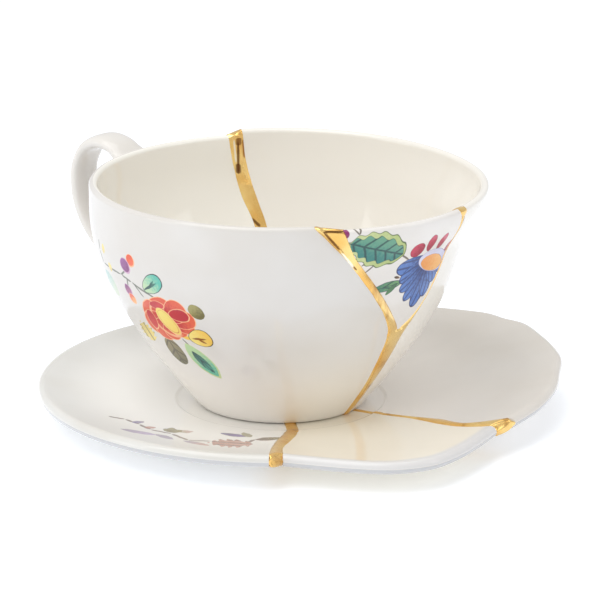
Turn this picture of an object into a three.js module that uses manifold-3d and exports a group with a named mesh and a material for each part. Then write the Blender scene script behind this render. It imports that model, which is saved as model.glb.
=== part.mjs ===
// A porcelain cup standing in its saucer, each broken and joined again with gold. Both were put
// together from shards that don't quite match, so the gold seams also bridge small steps.
// Millimetres, +Z up. The origin is on the table, under the middle of the saucer's outline.
// Azimuths are degrees about the vessels' common axis: 0 is +X, 90 is +Y, away from the front.
import * as THREE from 'three';
import { mergeVertices } from 'three/addons/utils/BufferGeometryUtils.js';
import Module from 'manifold-3d';

const wasm = await Module();
wasm.setup();

// The axis stands left of the middle, because the lobed side of the saucer reaches further out.
const axisX = -6.25;
// Between each broken edge and the gold.
const seamGap = 0.3;
// Between the cup's foot and the saucer's well.
const seatGap = 0.2;
// The widest step between two columns of a shard's facets, in degrees.
const columnStep = 7.5;

const cup = {
  height: 74.7,
  footRadius: 27.6,
  bodyRadius: 62.2,
  bellyHeight: 67,
  wall: 2.8,
  footRing: 3.5,
  footRingSlope: 0.8,
  footRecess: 1.5,
  floor: 3.5,
  // Where the floor turns up into the wall, inside.
  floorRound: { start: -3, middle: -0.5, end: 1.8, rise: 0.25 },
  pool: 3,
};

// The flared shard is the wider side of another cup: its lip leans out, most of all at peak.
// from and waistFrom to waistTo are shares of the wall's height.
const flare = {
  all: 1.6,
  reach: 5.9,
  peak: -28,
  spread: { before: 42, after: 54 },
  fullness: 2.6,
  from: 0.755,
  waist: 1.5,
  waistFrom: 0.3,
  waistTo: 0.7,
  lift: 0.4,
  tilt: 1.45,
};

const handle = {
  azimuth: 144,
  width: 13.5,
  lowerWidth: 10,
  thickness: 4.4,
  // How much thinner the strap is along its two sides, as a share.
  taper: 0.9,
  // Centre line as [radius past the body, height under the lip].
  line: [
    [-1.4, 2.8], [6, -1.6], [13.5, -1.2], [18.6, 4.6], [20, 13],
    [18, 22], [12, 31.5], [3.5, 38.5], [-6, 43.4], [-15, 46.8],
  ],
  // How far the ends run into the wall, as a share of its thickness.
  rootDepth: 0.75,
};

const saucer = {
  radius: 80,
  crest: 12.1,
  wellRadius: 33.8,
  well: 5,
  wellStep: 0.6,
  wellStepWidth: 0.5,
  thickness: 3.2,
  // The dish is nearly a cone. It turns up a little towards the lip.
  dishBend: 1.15,
  lip: 4,
  underWell: 1.8,
  footInner: 36,
  footOuter: 40,
  footSlope: 1,
  pool: 5.6,
};

// Outlines of the two odd shards: [azimuth, radius, height of the lip's crest].
const frontRim = [
  [-95, 72, 10.6], [-89, 75, 10.6], [-82, 78.7, 10.6], [-75, 83.6, 10.6], [-70, 87.4, 10.6],
  [-66, 89.8, 10.6], [-61, 91.1, 10.6], [-57, 91, 10.6], [-49, 87.9, 10.6], [-42, 85.2, 10.7],
  [-35, 83.2, 10.8], [-26, 82.6, 11],
];
const lobedRim = [
  [-38, 83.5, 11], [-27, 86.2, 12.4], [-19, 88.8, 13.6], [-10, 91, 15.2], [-2, 91.8, 16.4], [5, 93.4, 17.2],
  [12, 93.7, 17.2], [20, 94.1, 17.2], [29, 95.3, 17.1], [34, 93.4, 16.9], [39, 93.3, 16.7], [45, 90.8, 16.3],
  [51, 88.6, 15.8], [62, 85.5, 15], [78, 83, 13.8], [90, 82.2, 13], [110, 81.6, 12.2],
];

// Broken edges as [share of the way up the wall, azimuth]. The painted front has a wedge-shaped
// flower shard between the main and the flared one, and the back seam faces it.
const cupEdges = {
  mainFront: [
    [0, -42.2], [0.145, -43.4], [0.29, -46.6], [0.461, -49.6], [0.513, -51.8],
    [0.571, -54.9], [0.633, -58.5], [0.77, -66.1], [0.895, -72.9], [1, -79.9],
  ],
  flowerLeft: [
    [0.42, -45.1], [0.466, -45.1], [0.549, -50.1], [0.607, -53.6],
    [0.721, -60.3], [0.807, -65.2], [0.875, -68.5], [1, -72.1],
  ],
  flowerRight: [
    [0.42, -44], [0.466, -44], [0.509, -40], [0.561, -36.7], [0.615, -34.5],
    [0.7, -32.2], [0.76, -30.8], [0.82, -30.2], [0.9, -31.2], [1, -34],
  ],
  flaredFront: [
    [0, -37], [0.1, -37.2], [0.21, -38.8], [0.37, -40.4], [0.438, -39.9], [0.484, -38.4], [0.561, -35.4],
    [0.62, -33.2], [0.7, -30.9], [0.76, -29.4], [0.82, -28.8], [0.9, -29.4], [1, -31.6],
  ],
  flaredBack: [[0, 87.3], [0.3, 91], [0.585, 95.7], [0.685, 98.2], [0.857, 101.9], [1, 103.1]],
  mainBack: [[0, 93.3], [0.3, 96], [0.585, 100], [0.708, 103.6], [0.868, 106.2], [1, 107.7]],
};
// The flower shard's tip, as a share of the wall's height.
const flowerTip = 0.466;
// How far the two upper seams reach down into the lower one.
const seamOverlap = 3;
// A seam's inner end stands inside the gold pool, at this share of its radius.
const poolReach = 0.75;
const seamColumns = 3;

// Broken edges as [share of the way from the well to the lip, azimuth].
const saucerEdges = {
  leftFront: [[0, -86.2], [0.33, -90.5], [0.63, -92], [1, -92.4]],
  frontLeft: [[0, -80.5], [0.36, -86.1], [0.68, -89.2], [1, -89.3]],
  frontRight: [[0, -29.5], [0.125, -31.3], [0.33, -33], [0.55, -35.9], [0.7, -37], [0.83, -36.4], [1, -34.4]],
  lobedFront: [
    [0, -26.8], [0.12, -29.6], [0.3, -31.6], [0.54, -33], [0.72, -35], [0.8, -34.2], [0.9, -31.8], [1, -29],
  ],
  lobedBack: [[0, 104], [1, 105]],
  leftBack: [[0, 109], [1, 108]],
};

const porcelain = (color) => new THREE.MeshStandardMaterial({ color, roughness: 0.08, metalness: 0 });
const gold = new THREE.MeshStandardMaterial({ color: 0xe0ac4c, roughness: 0.18, metalness: 1 });

const radians = THREE.MathUtils.degToRad;

// A smooth curve through a table's rows, which start with x, read at x in the given column.
function along(table, x, column = 1) {
  const last = table.length - 1;
  const inside = THREE.MathUtils.clamp(x, table[0][0], table[last][0]);
  const next = Math.max(1, table.findIndex((row) => row[0] >= inside));
  const [a, b] = [table[next - 1], table[next]];
  const slope = (from, to) => (to[column] - from[column]) / (to[0] - from[0]);
  const slopeA = slope(table[Math.max(0, next - 2)], b);
  const slopeB = slope(a, table[Math.min(last, next + 1)]);
  const span = b[0] - a[0];
  const t = (inside - a[0]) / span;
  return (2 * t ** 3 - 3 * t ** 2 + 1) * a[column] + (t ** 3 - 2 * t ** 2 + t) * span * slopeA
    + (3 * t ** 2 - 2 * t ** 3) * b[column] + (t ** 3 - t ** 2) * span * slopeB;
}

function polar(radius, azimuth, z) {
  return new THREE.Vector3(radius * Math.cos(radians(azimuth)), radius * Math.sin(radians(azimuth)), z);
}

// A closed plate with two skins of points, corner(skin, i, j), and walls all round between them.
// Skin 0 faces along the turn from j to i, and skin 1 faces the other way.
function plate(rows, columns, corner) {
  const points = [];
  const faces = [];
  const at = (skin, i, j) => (skin * (rows + 1) + i) * (columns + 1) + j;
  const quad = (a, b, c, d) => faces.push(a, b, c, a, c, d);
  for (let skin = 0; skin < 2; skin += 1)
    for (let i = 0; i <= rows; i += 1)
      for (let j = 0; j <= columns; j += 1) points.push(corner(skin, i, j));
  for (let i = 0; i < rows; i += 1) {
    for (let j = 0; j < columns; j += 1) {
      quad(at(0, i, j), at(0, i, j + 1), at(0, i + 1, j + 1), at(0, i + 1, j));
      quad(at(1, i, j), at(1, i + 1, j), at(1, i + 1, j + 1), at(1, i, j + 1));
    }
    quad(at(0, i, 0), at(0, i + 1, 0), at(1, i + 1, 0), at(1, i, 0));
    quad(at(0, i + 1, columns), at(0, i, columns), at(1, i, columns), at(1, i + 1, columns));
  }
  for (let j = 0; j < columns; j += 1) {
    quad(at(0, 0, j + 1), at(0, 0, j), at(1, 0, j), at(1, 0, j + 1));
    quad(at(0, rows, j), at(0, rows, j + 1), at(1, rows, j + 1), at(1, rows, j));
  }
  const geometry = new THREE.BufferGeometry().setFromPoints(points);
  geometry.setIndex(faces);
  geometry.computeVertexNormals();
  return geometry;
}

function solidOf(geometry) {
  const bare = new THREE.BufferGeometry().setAttribute('position', geometry.getAttribute('position'));
  bare.setIndex(geometry.index);
  const merged = mergeVertices(bare);
  return new wasm.Manifold(new wasm.Mesh({
    numProp: 3,
    vertProperties: merged.attributes.position.array,
    triVerts: new Uint32Array(merged.index.array),
  }));
}

function geometryOf(solid) {
  const mesh = solid.getMesh();
  const geometry = new THREE.BufferGeometry();
  geometry.setAttribute('position', new THREE.BufferAttribute(mesh.vertProperties, 3));
  geometry.setIndex(new THREE.BufferAttribute(mesh.triVerts, 1));
  geometry.computeVertexNormals();
  return geometry;
}

function joined(geometries) {
  return geometryOf(geometries.map(solidOf).reduce((whole, next) => whole.add(next)));
}

// The cup's profile in rows from the middle of the foot to the lip. Each row has one point on the
// outside and one on the inside as [radius, height], and its share of the wall's height.
function bodyRadiusAt(height) {
  const swell = Math.sin(Math.min(1, height / cup.bellyHeight) * Math.PI / 2);
  return cup.footRadius + (cup.bodyRadius - cup.footRadius) * swell;
}

function wallRow(height) {
  const step = 0.01;
  const lean = Math.atan2(bodyRadiusAt(height + step) - bodyRadiusAt(height), step);
  const radius = bodyRadiusAt(height);
  return {
    skins: [
      [radius, height],
      [radius - cup.wall * Math.cos(lean), height + cup.wall * Math.sin(lean)],
    ],
    share: height / cup.height,
  };
}

function cupLipRow(angle) {
  const round = cup.wall / 2;
  const height = cup.height - round + round * Math.sin(radians(angle));
  const middle = cup.bodyRadius - round;
  const half = round * Math.cos(radians(angle));
  return { skins: [[middle + half, height], [middle - half, height]], share: height / cup.height };
}

const cupFloorTop = cup.footRecess + cup.floor;

function cupBaseRows(start) {
  const ringInner = cup.footRadius - cup.footRing;
  const round = cup.floorRound;
  const profile = [
    [[start, cup.footRecess], [start, cupFloorTop]],
    [[ringInner / 2, cup.footRecess], [ringInner / 2, cupFloorTop]],
    [[ringInner, cup.footRecess], [ringInner + round.start, cupFloorTop]],
    [[ringInner + cup.footRingSlope, 0], [ringInner + round.middle, cupFloorTop]],
    [[cup.footRadius, 0], [ringInner + round.end, cupFloorTop + round.rise]],
  ];
  return profile.map((skins) => ({ skins, share: 0 }));
}

// Rows of the wall above one share of its height, up to the lip.
function cupWallRows(start) {
  const shares = [0.055, 0.12, 0.2, 0.295, 0.385, flowerTip, 0.53, 0.6, 0.68, 0.76, 0.84, 0.905, 0.955];
  const rows = shares.filter((share) => share > start).map((share) => wallRow(share * cup.height));
  const lipAngles = [0, 40, 72];
  return [...rows, ...lipAngles.map(cupLipRow)];
}

// Where a point of the profile lies on the main or the flared cup.
function cupPoint(flared, skin, row, azimuth) {
  const [radius, height] = row.skins[skin];
  const z = saucer.well + seatGap + height;
  if (!flared) return polar(radius, azimuth, z);
  const turn = azimuth - flare.peak;
  const spread = turn < 0 ? flare.spread.before : flare.spread.after;
  const rise = THREE.MathUtils.smoothstep(row.share, flare.from, 1);
  const out = (flare.all + flare.reach * Math.exp(-(Math.abs(turn / spread) ** flare.fullness))) * rise;
  const waist = flare.waist * THREE.MathUtils.smoothstep(row.share, flare.waistFrom, flare.waistTo);
  const up = (flare.lift + flare.tilt * Math.sin(radians(azimuth))) * rise;
  return polar(radius - waist + out, azimuth, z + up);
}

// The saucer's profile in rows from the middle to the lip, for a lip of one radius and crest.
const saucerRowCount = 15;

function saucerRow(index, start, radius, crest) {
  const edge = saucer.wellRadius;
  const step = saucer.well + saucer.wellStep;
  const round = saucer.lip / 2;
  const lipMiddle = [radius - round, crest - round];
  const bend = (r) => ((r - edge) / (lipMiddle[0] - edge)) ** saucer.dishBend;
  const topAt = (r) => step + (crest - step) * bend(r);
  const footTop = saucer.footInner + saucer.footSlope;
  const dishStart = saucer.footOuter + saucer.footSlope;
  const floor = (r) => [[r, saucer.underWell], [r, saucer.well]];
  const dish = (share) => {
    const r = THREE.MathUtils.lerp(dishStart, lipMiddle[0], share);
    return [[r, topAt(r) - saucer.thickness], [r, topAt(r)]];
  };
  const lip = (angle) => {
    const [across, up] = [round * Math.cos(radians(angle)), round * Math.sin(radians(angle))];
    return [[lipMiddle[0] + across, lipMiddle[1] - up], [lipMiddle[0] + across, lipMiddle[1] + up]];
  };
  const rows = [
    () => floor(start),
    () => floor(edge * 0.35),
    () => floor(edge * 0.7),
    () => floor(edge),
    () => [[saucer.footInner - saucer.footSlope, saucer.underWell], [edge + saucer.wellStepWidth, step]],
    () => [[saucer.footInner, 0], [footTop, topAt(footTop)]],
    () => [[saucer.footOuter, 0], [saucer.footOuter, topAt(saucer.footOuter)]],
    () => dish(0),
    () => dish(0.24),
    () => dish(0.48),
    () => dish(0.72),
    () => dish(0.9),
    () => lip(88),
    () => lip(50),
    () => lip(20),
  ];
  return rows[index]();
}

const rims = {
  left: () => [saucer.radius, saucer.crest],
  front: (azimuth) => [along(frontRim, azimuth, 1), along(frontRim, azimuth, 2)],
  lobed: (azimuth) => [along(lobedRim, azimuth, 1), along(lobedRim, azimuth, 2)],
};

// How far a row lies from the well to the lip, read where it doesn't depend on the azimuth.
function saucerShare(index, start) {
  const [[radius]] = saucerRow(index, start, saucer.radius, saucer.crest);
  return THREE.MathUtils.clamp((radius - saucer.wellRadius) / (saucer.radius - saucer.wellRadius), 0, 1);
}

function saucerPoint(rim, skin, index, start, azimuth) {
  const turned = azimuth > 180 ? azimuth - 360 : azimuth;
  const [radius, z] = saucerRow(index, start, ...rims[rim](turned))[skin];
  return polar(radius, azimuth, z);
}

// An edge's azimuth at a row. Inside the foot or well, where the share is 0, both edges of a seam
// run straight towards the middle, each as far from the seam's middle line as where they start.
function edgeAt(edge, opposite, share, radius, startRadius) {
  const azimuth = along(edge, share);
  if (share > 0 || radius >= startRadius) return azimuth;
  const middle = (along(edge, 0) + along(opposite, 0)) / 2;
  return middle + (azimuth - middle) * startRadius / radius;
}

// A plate between two edges of a vessel. Porcelain keeps the seam gap to the edges and gold
// reaches them. turn is added to the end's azimuth where the plate goes round past 180 degrees.
function piece(vessel, { start, end, gap, turn = 0, rows, columns, blend }) {
  const azimuths = rows.map((row) => {
    const radius = vessel.radius(row);
    const share = vessel.share(row);
    const first = edgeAt(start[0], start[1], share, radius, vessel.startRadius);
    const last = edgeAt(end[0], end[1], share, radius, vessel.startRadius) + turn;
    const inset = THREE.MathUtils.radToDeg(gap / radius);
    return [first + inset, last - inset];
  });
  return plate(rows.length - 1, columns, (skin, i, j) => {
    const across = j / columns;
    const azimuth = THREE.MathUtils.lerp(...azimuths[i], across);
    const [from, to] = blend.map((shape) => vessel.point(shape, skin, rows[i], azimuth));
    return from.lerp(to, across);
  });
}

const columnsFor = (degrees) => Math.ceil(degrees / columnStep);

// The cup.
const cupVessel = {
  startRadius: cup.footRadius,
  radius: (row) => row.skins[0][0],
  share: (row) => row.share,
  point: cupPoint,
};
const cupShardRows = [...cupBaseRows(cup.pool + seamGap), ...cupWallRows(0)];
const tipHeight = flowerTip * cup.height;

// The handle is a strap bent in a plane through the axis. Its ends run into the wall and stop
// short of the inside.
function strap() {
  const rows = 18;
  const columns = 6;
  const widthAt = (share) => THREE.MathUtils.lerp(handle.width, handle.lowerWidth, share);
  const line = new THREE.CatmullRomCurve3(handle.line.map(([out, under]) => new THREE.Vector3(
    cup.bodyRadius + out, 0, saucer.well + seatGap + cup.height - under)));
  const geometry = plate(rows, columns, (skin, i, j) => {
    const middle = line.getPointAt(i / rows);
    const tangent = line.getTangentAt(i / rows);
    const side = 1 - 2 * j / columns;
    const thick = handle.thickness / 2 * Math.sqrt(1 - handle.taper * side ** 4);
    const out = skin === 0 ? thick : -thick;
    const across = side * widthAt(i / rows) / 2;
    return middle.add(new THREE.Vector3(-tangent.z * out, across, tangent.x * out));
  });
  return geometry.rotateZ(radians(handle.azimuth));
}

// All that lies inside the cup and the inner part of its wall, which the handle's ends keep out of.
function cavity() {
  const depth = cup.wall * (1 - handle.rootDepth);
  const above = cup.height + cup.wall;
  const inside = cupShardRows.map((row) => row.skins[1]).map(([radius, height]) =>
    new THREE.Vector2(radius + depth, height - depth));
  const profile = [
    new THREE.Vector2(0, inside[0].y),
    ...inside,
    new THREE.Vector2(cup.bodyRadius, above),
    new THREE.Vector2(0, above),
  ];
  const turns = 64;
  return new THREE.LatheGeometry(profile, turns).rotateX(Math.PI / 2).translate(0, 0, saucer.well + seatGap);
}

function mainShard() {
  const wall = piece(cupVessel, {
    start: [cupEdges.mainBack, cupEdges.flaredBack],
    end: [cupEdges.mainFront, cupEdges.flaredFront],
    turn: 360,
    gap: seamGap,
    rows: cupShardRows,
    columns: columnsFor(210),
    blend: [false, false],
  });
  return geometryOf(solidOf(wall).add(solidOf(strap()).subtract(solidOf(cavity()))));
}

function flaredShard() {
  return piece(cupVessel, {
    start: [cupEdges.flaredFront, cupEdges.mainFront],
    end: [cupEdges.flaredBack, cupEdges.mainBack],
    gap: seamGap,
    rows: cupShardRows,
    columns: columnsFor(132),
    blend: [true, true],
  });
}

function flowerShard() {
  return piece(cupVessel, {
    start: [cupEdges.flowerLeft, cupEdges.flowerRight],
    end: [cupEdges.flowerRight, cupEdges.flowerLeft],
    gap: seamGap,
    rows: [wallRow(tipHeight), ...cupWallRows(flowerTip)],
    columns: columnsFor(37),
    blend: [true, true],
  });
}

// A round pool of gold at the middle of a floor, where the seams meet.
function pool(radius, bottom, top) {
  return new THREE.CylinderGeometry(radius, radius, top - bottom, 24)
    .rotateX(Math.PI / 2).translate(0, 0, (top + bottom) / 2);
}

function cupSeam() {
  const seam = (start, end, rows, blend) =>
    piece(cupVessel, { start, end, gap: 0, rows, columns: seamColumns, blend });
  const { mainFront, flowerLeft, flowerRight, flaredFront, flaredBack, mainBack } = cupEdges;
  const base = cupBaseRows(cup.pool * poolReach);
  const belowTip = cupWallRows(0).filter((row) => row.share < flowerTip);
  const aboveTip = [wallRow(tipHeight - seamOverlap), wallRow(tipHeight), ...cupWallRows(flowerTip)];
  const stem = seam([mainFront, flaredFront], [flaredFront, mainFront],
    [...base, ...belowTip, wallRow(tipHeight - 2 * seamGap)], [false, true]);
  const left = seam([mainFront, flowerLeft], [flowerLeft, mainFront], aboveTip, [false, true]);
  const right = seam([flowerRight, flaredFront], [flaredFront, flowerRight], aboveTip, [true, true]);
  const whole = [...base, ...cupWallRows(0)];
  const back = seam([flaredBack, mainBack], [mainBack, flaredBack], whole, [true, false]);
  const bottom = saucer.well + seatGap + cup.footRecess;
  return joined([stem, left, right, back, pool(cup.pool, bottom, bottom + cup.floor)]);
}

// The saucer.
const saucerVessel = (start) => ({
  startRadius: saucer.wellRadius,
  radius: (index) => saucerRow(index, start, saucer.radius, saucer.crest)[1][0],
  share: (index) => saucerShare(index, start),
  point: (rim, skin, index, azimuth) => saucerPoint(rim, skin, index, start, azimuth),
});
const saucerRows = Array.from({ length: saucerRowCount }, (_, index) => index);

function saucerShard(rim, start, end, degrees, turn = 0) {
  return piece(saucerVessel(saucer.pool + seamGap), {
    start,
    end,
    turn,
    gap: seamGap,
    rows: saucerRows,
    columns: columnsFor(degrees),
    blend: [rim, rim],
  });
}

function leftShard() {
  const { lobedBack, leftBack, leftFront, frontLeft } = saucerEdges;
  return saucerShard('left', [leftBack, lobedBack], [leftFront, frontLeft], 165, 360);
}

function frontShard() {
  const { leftFront, frontLeft, frontRight, lobedFront } = saucerEdges;
  return saucerShard('front', [frontLeft, leftFront], [frontRight, lobedFront], 55);
}

function lobedShard() {
  const { frontRight, lobedFront, lobedBack, leftBack } = saucerEdges;
  return saucerShard('lobed', [lobedFront, frontRight], [lobedBack, leftBack], 135);
}

function saucerSeam() {
  const { leftFront, frontLeft, frontRight, lobedFront, lobedBack, leftBack } = saucerEdges;
  const seam = (start, end, blend) => piece(saucerVessel(saucer.pool * poolReach), {
    start: [start, end], end: [end, start], gap: 0, rows: saucerRows, columns: seamColumns, blend,
  });
  return joined([
    seam(leftFront, frontLeft, ['left', 'front']),
    seam(frontRight, lobedFront, ['front', 'lobed']),
    seam(lobedBack, leftBack, ['lobed', 'left']),
    pool(saucer.pool, saucer.underWell, saucer.well),
  ]);
}

const set = new THREE.Group();
set.position.x = axisX;

function place(name, geometry, material) {
  const mesh = new THREE.Mesh(geometry, material);
  mesh.name = name;
  set.add(mesh);
}

place('cup_main_shard', mainShard(), porcelain(0xedebe7));
place('cup_flower_shard', flowerShard(), porcelain(0xe8e6e6));
place('cup_flared_shard', flaredShard(), porcelain(0xebe6e0));
place('cup_gold_seam', cupSeam(), gold);
place('saucer_left_shard', leftShard(), porcelain(0xe2dfd6));
place('saucer_front_shard', frontShard(), porcelain(0xe4d9be));
place('saucer_lobed_shard', lobedShard(), porcelain(0xd8d2c8));
place('saucer_gold_seam', saucerSeam(), gold);

export default set;
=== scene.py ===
# A porcelain cup in its saucer, each joined again from broken shards with gold, in a white studio.
# Pieces are shaped in millimetres about the vessels' axis, and brought to metres when finished.
import math

import bpy
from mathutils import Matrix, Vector, noise


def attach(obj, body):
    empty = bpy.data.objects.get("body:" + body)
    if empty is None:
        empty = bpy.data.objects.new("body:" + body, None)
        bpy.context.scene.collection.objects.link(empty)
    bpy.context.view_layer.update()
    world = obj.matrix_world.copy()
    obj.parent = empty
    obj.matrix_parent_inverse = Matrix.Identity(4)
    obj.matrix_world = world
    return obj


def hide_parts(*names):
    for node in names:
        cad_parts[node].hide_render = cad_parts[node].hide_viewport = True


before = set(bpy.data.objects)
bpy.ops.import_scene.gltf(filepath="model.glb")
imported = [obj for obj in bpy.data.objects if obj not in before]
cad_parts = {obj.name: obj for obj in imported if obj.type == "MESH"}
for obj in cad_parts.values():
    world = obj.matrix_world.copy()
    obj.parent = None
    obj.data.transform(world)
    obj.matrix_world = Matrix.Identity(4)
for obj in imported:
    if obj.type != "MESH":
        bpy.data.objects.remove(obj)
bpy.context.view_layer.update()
bpy.ops.object.select_all(action="DESELECT")


# The studio: a pale floor that runs on past the picture, a broad soft light high at the front left,
# small ones low at the left and on the right, and one overhead. The camera looks down a little.
bpy.ops.object.camera_add(location=(0, -1.088, 0.3622), rotation=(math.radians(73.437), 0, 0))
camera = bpy.context.object
camera.data.sensor_width = 36
camera.data.lens = 207.98
bpy.context.scene.camera = camera
bpy.context.scene.view_settings.view_transform = "Standard"

bpy.ops.mesh.primitive_circle_add(vertices=96, radius=4, fill_type="NGON")
floor = bpy.context.object
floor.name = "studio_floor"
floor_paint = bpy.data.materials.new("floor_paint")
floor_paint.use_nodes = True
floor_looks = floor_paint.node_tree.nodes["Principled BSDF"].inputs
floor_looks["Base Color"].default_value = (0.88, 0.91, 0.96, 1)
floor_looks["Roughness"].default_value = 0.6
floor_looks["Emission Color"].default_value = (1, 1, 1, 1)
floor_looks["Emission Strength"].default_value = 0.22
floor.data.materials.append(floor_paint)


look_at = Vector((0, 0, 0.04))


def softbox(name, place, size, power):
    """A rectangle of light, turned towards the cup."""
    bpy.ops.object.light_add(type="AREA", location=place)
    light = bpy.context.object
    light.name = name
    light.data.shape = "RECTANGLE"
    light.data.size, light.data.size_y = size
    light.data.energy = power
    light.rotation_euler = (look_at - light.location).to_track_quat("-Z", "Y").to_euler()


softbox("light_high", (-0.55, -0.5, 1.42), (1.3, 1.2), 11.5)
softbox("light_left", (-1.35, -0.42, 0.36), (0.55, 0.5), 1.6)
softbox("light_right", (1.4, -0.4, 0.9), (0.5, 0.9), 2)
softbox("light_top", (0, 0.3, 1.7), (1.2, 1.0), 5)
world = bpy.data.worlds.new("studio_air")
world.use_nodes = True
air = world.node_tree.nodes["Background"].inputs
air["Color"].default_value = (1, 1, 1, 1)
air["Strength"].default_value = 0.64
bpy.context.scene.world = world


# The main shard of the cup: thin white porcelain with a strap handle, thrown as one bowl and broken.
# Its section is spun round the axis, and each row's ends are pushed to where the wall broke.
axis_x = -6.25
well_height = 5.0
seat_gap = 0.2
cup_height = 74.7
cup_foot_radius = 27.6
cup_body_radius = 62.2
cup_belly = 67.0
cup_wall = 2.8
cup_foot_ring = 3.5
cup_recess = 1.5
cup_floor = 3.5
cup_pool = 3.0
cup_bottom = well_height + seat_gap

# Shares of the wall's height where its rows begin above the foot, and where the lip's round begins.
wall_start = 0.006
lip_start = 0.981


def smooth(x, low=0.0, high=1.0):
    """0 up to low and 1 from high, with a soft step between them."""
    t = min(1.0, max(0.0, (x - low) / (high - low)))
    return t * t * (3 - 2 * t)


def along(table, x, column=1):
    """A smooth curve through the rows of a table, which start with x, read at x."""
    last = len(table) - 1
    x = min(max(x, table[0][0]), table[last][0])
    k = max(1, next(i for i, row in enumerate(table) if row[0] >= x))
    a, b = table[k - 1], table[k]
    before, after = table[max(0, k - 2)], table[min(last, k + 1)]
    slope_a = (b[column] - before[column]) / (b[0] - before[0])
    slope_b = (after[column] - a[column]) / (after[0] - a[0])
    span = b[0] - a[0]
    t = (x - a[0]) / span
    near = (2 * t**3 - 3 * t**2 + 1) * a[column] + (t**3 - 2 * t**2 + t) * span * slope_a
    return near + (3 * t**2 - 2 * t**3) * b[column] + (t**3 - t**2) * span * slope_b


def body_radius(height):
    """The round bowl's outer radius at a height above its foot."""
    swell = math.sin(min(1, height / cup_belly) * math.pi / 2)
    return cup_foot_radius + (cup_body_radius - cup_foot_radius) * swell


def wall_row(height):
    """A row of the wall: its outer and inner point, and its share of the wall's height."""
    lean = math.atan2(body_radius(height + 0.01) - body_radius(height), 0.01)
    radius = body_radius(height)
    inside = (radius - cup_wall * math.cos(lean), height + cup_wall * math.sin(lean))
    return (radius, height), inside, height / cup_height


def cup_lip_row(angle):
    """A row of the lip, from 0 degrees at the wall to 90 at the crest."""
    half = cup_wall / 2
    height = cup_height - half + half * math.sin(math.radians(angle))
    across = half * math.cos(math.radians(angle))
    middle = cup_body_radius - half
    return (middle + across, height), (middle - across, height), height / cup_height


def cup_base_rows(start):
    """Rows from a radius at the middle out to the foot: the recess and foot ring below, the floor above."""
    ring = cup_foot_radius - cup_foot_ring
    top = cup_recess + cup_floor
    rows = [((start, cup_recess), (start, top), 0)]
    for k in range(1, 9):
        radius = start + (ring - 1 - start) * k / 8
        rows.append(((radius, cup_recess), (radius - 2 * k / 8, top), 0))
    return rows + [
        ((ring, cup_recess - 0.2), (ring - 1.4, top), 0),
        ((ring + 0.4, 0.4), (ring - 0.4, top + 0.02), 0),
        ((ring + 0.9, 0), (ring + 0.3, top + 0.06), 0),
        ((cup_foot_radius - 0.6, 0), (ring + 1.0, top + 0.13), 0),
        ((cup_foot_radius - 0.18, 0.18), (ring + 1.6, top + 0.25), 0),
    ]


def cup_wall_rows(first=wall_start, last=lip_start, count=64):
    """Rows from one share of the wall's height to another, and the lip's where they reach it."""
    rows = [wall_row((first + (last - first) * k / count) * cup_height) for k in range(count + 1)]
    lip = [cup_lip_row(angle) for angle in (10, 20, 30, 40, 50, 60, 70, 80, 88)]
    return rows + (lip if last == lip_start else [])


def spun(name, rows, turn, steps):
    """A section of paired outer and inner points, spun about the axis. Each point keeps its row."""
    bpy.ops.mesh.primitive_grid_add(x_subdivisions=len(rows) - 1, y_subdivisions=1)
    piece = bpy.context.object
    piece.name = piece.data.name = name
    row_of = piece.data.attributes.new("row", "INT", "POINT")
    skin_of = piece.data.attributes.new("skin", "INT", "POINT")
    for k, vertex in enumerate(piece.data.vertices):
        skin, row = divmod(k, len(rows))
        radius, height = rows[row][skin]
        vertex.co = (radius, 0, height)
        row_of.data[k].value = row
        skin_of.data[k].value = skin
    bpy.ops.object.mode_set(mode="EDIT")
    bpy.ops.mesh.select_all(action="SELECT")
    bpy.ops.mesh.spin(steps=steps, angle=-math.radians(turn), center=(0, 0, 0), axis=(0, 0, 1))
    bpy.ops.object.mode_set(mode="OBJECT")
    return piece


def shaped(piece, rows, turn, shape, painted):
    """Moves each spun point to shape(skin, row, across), and notes where it lies for the painting."""
    marks = piece.data.attributes
    skins = [mark.value for mark in marks["skin"].data]
    places = [mark.value for mark in marks["row"].data]
    paint = marks.new("paint", "FLOAT_VECTOR", "POINT")
    for k, vertex in enumerate(piece.data.vertices):
        angle = math.degrees(math.atan2(vertex.co.y, vertex.co.x)) % 360
        across = 0 if angle > 359.9 else min(1, angle / turn)
        point, azimuth = shape(skins[k], places[k], across)
        vertex.co = point
        paint.data[k].vector = painted(skins[k], rows[places[k]], azimuth)


def faces_out():
    """Turns all faces of the active piece outwards."""
    bpy.ops.object.mode_set(mode="EDIT")
    bpy.ops.mesh.select_all(action="SELECT")
    bpy.ops.mesh.normals_make_consistent(inside=False)
    bpy.ops.object.mode_set(mode="OBJECT")


def finished(piece, angle=40):
    """Brings a piece to metres on the set's axis, its faces out and its curves smooth."""
    bpy.ops.object.select_all(action="DESELECT")
    piece.select_set(True)
    bpy.context.view_layer.objects.active = piece
    piece.location = (axis_x / 1000, 0, 0)
    piece.scale = (0.001, 0.001, 0.001)
    bpy.ops.object.transform_apply(location=True, rotation=True, scale=True)
    faces_out()
    bpy.ops.object.shade_smooth_by_angle(angle=math.radians(angle))
    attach(piece, "root")
    piece.select_set(False)


# How far the flared side leans out of the bowl's round, from the lip down.
flare_all = 1.6
flare_reach = 5.9
flare_peak = -28
flare_before = 42
flare_after = 54
flare_fullness = 2.6
flare_from = 0.755
flare_waist = 1.5
flare_lift = 0.4
flare_tilt = 1.45


def polar(radius, azimuth, height):
    """A point about the axis, its azimuth in degrees."""
    turn = math.radians(azimuth)
    return Vector((radius * math.cos(turn), radius * math.sin(turn), height))


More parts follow.
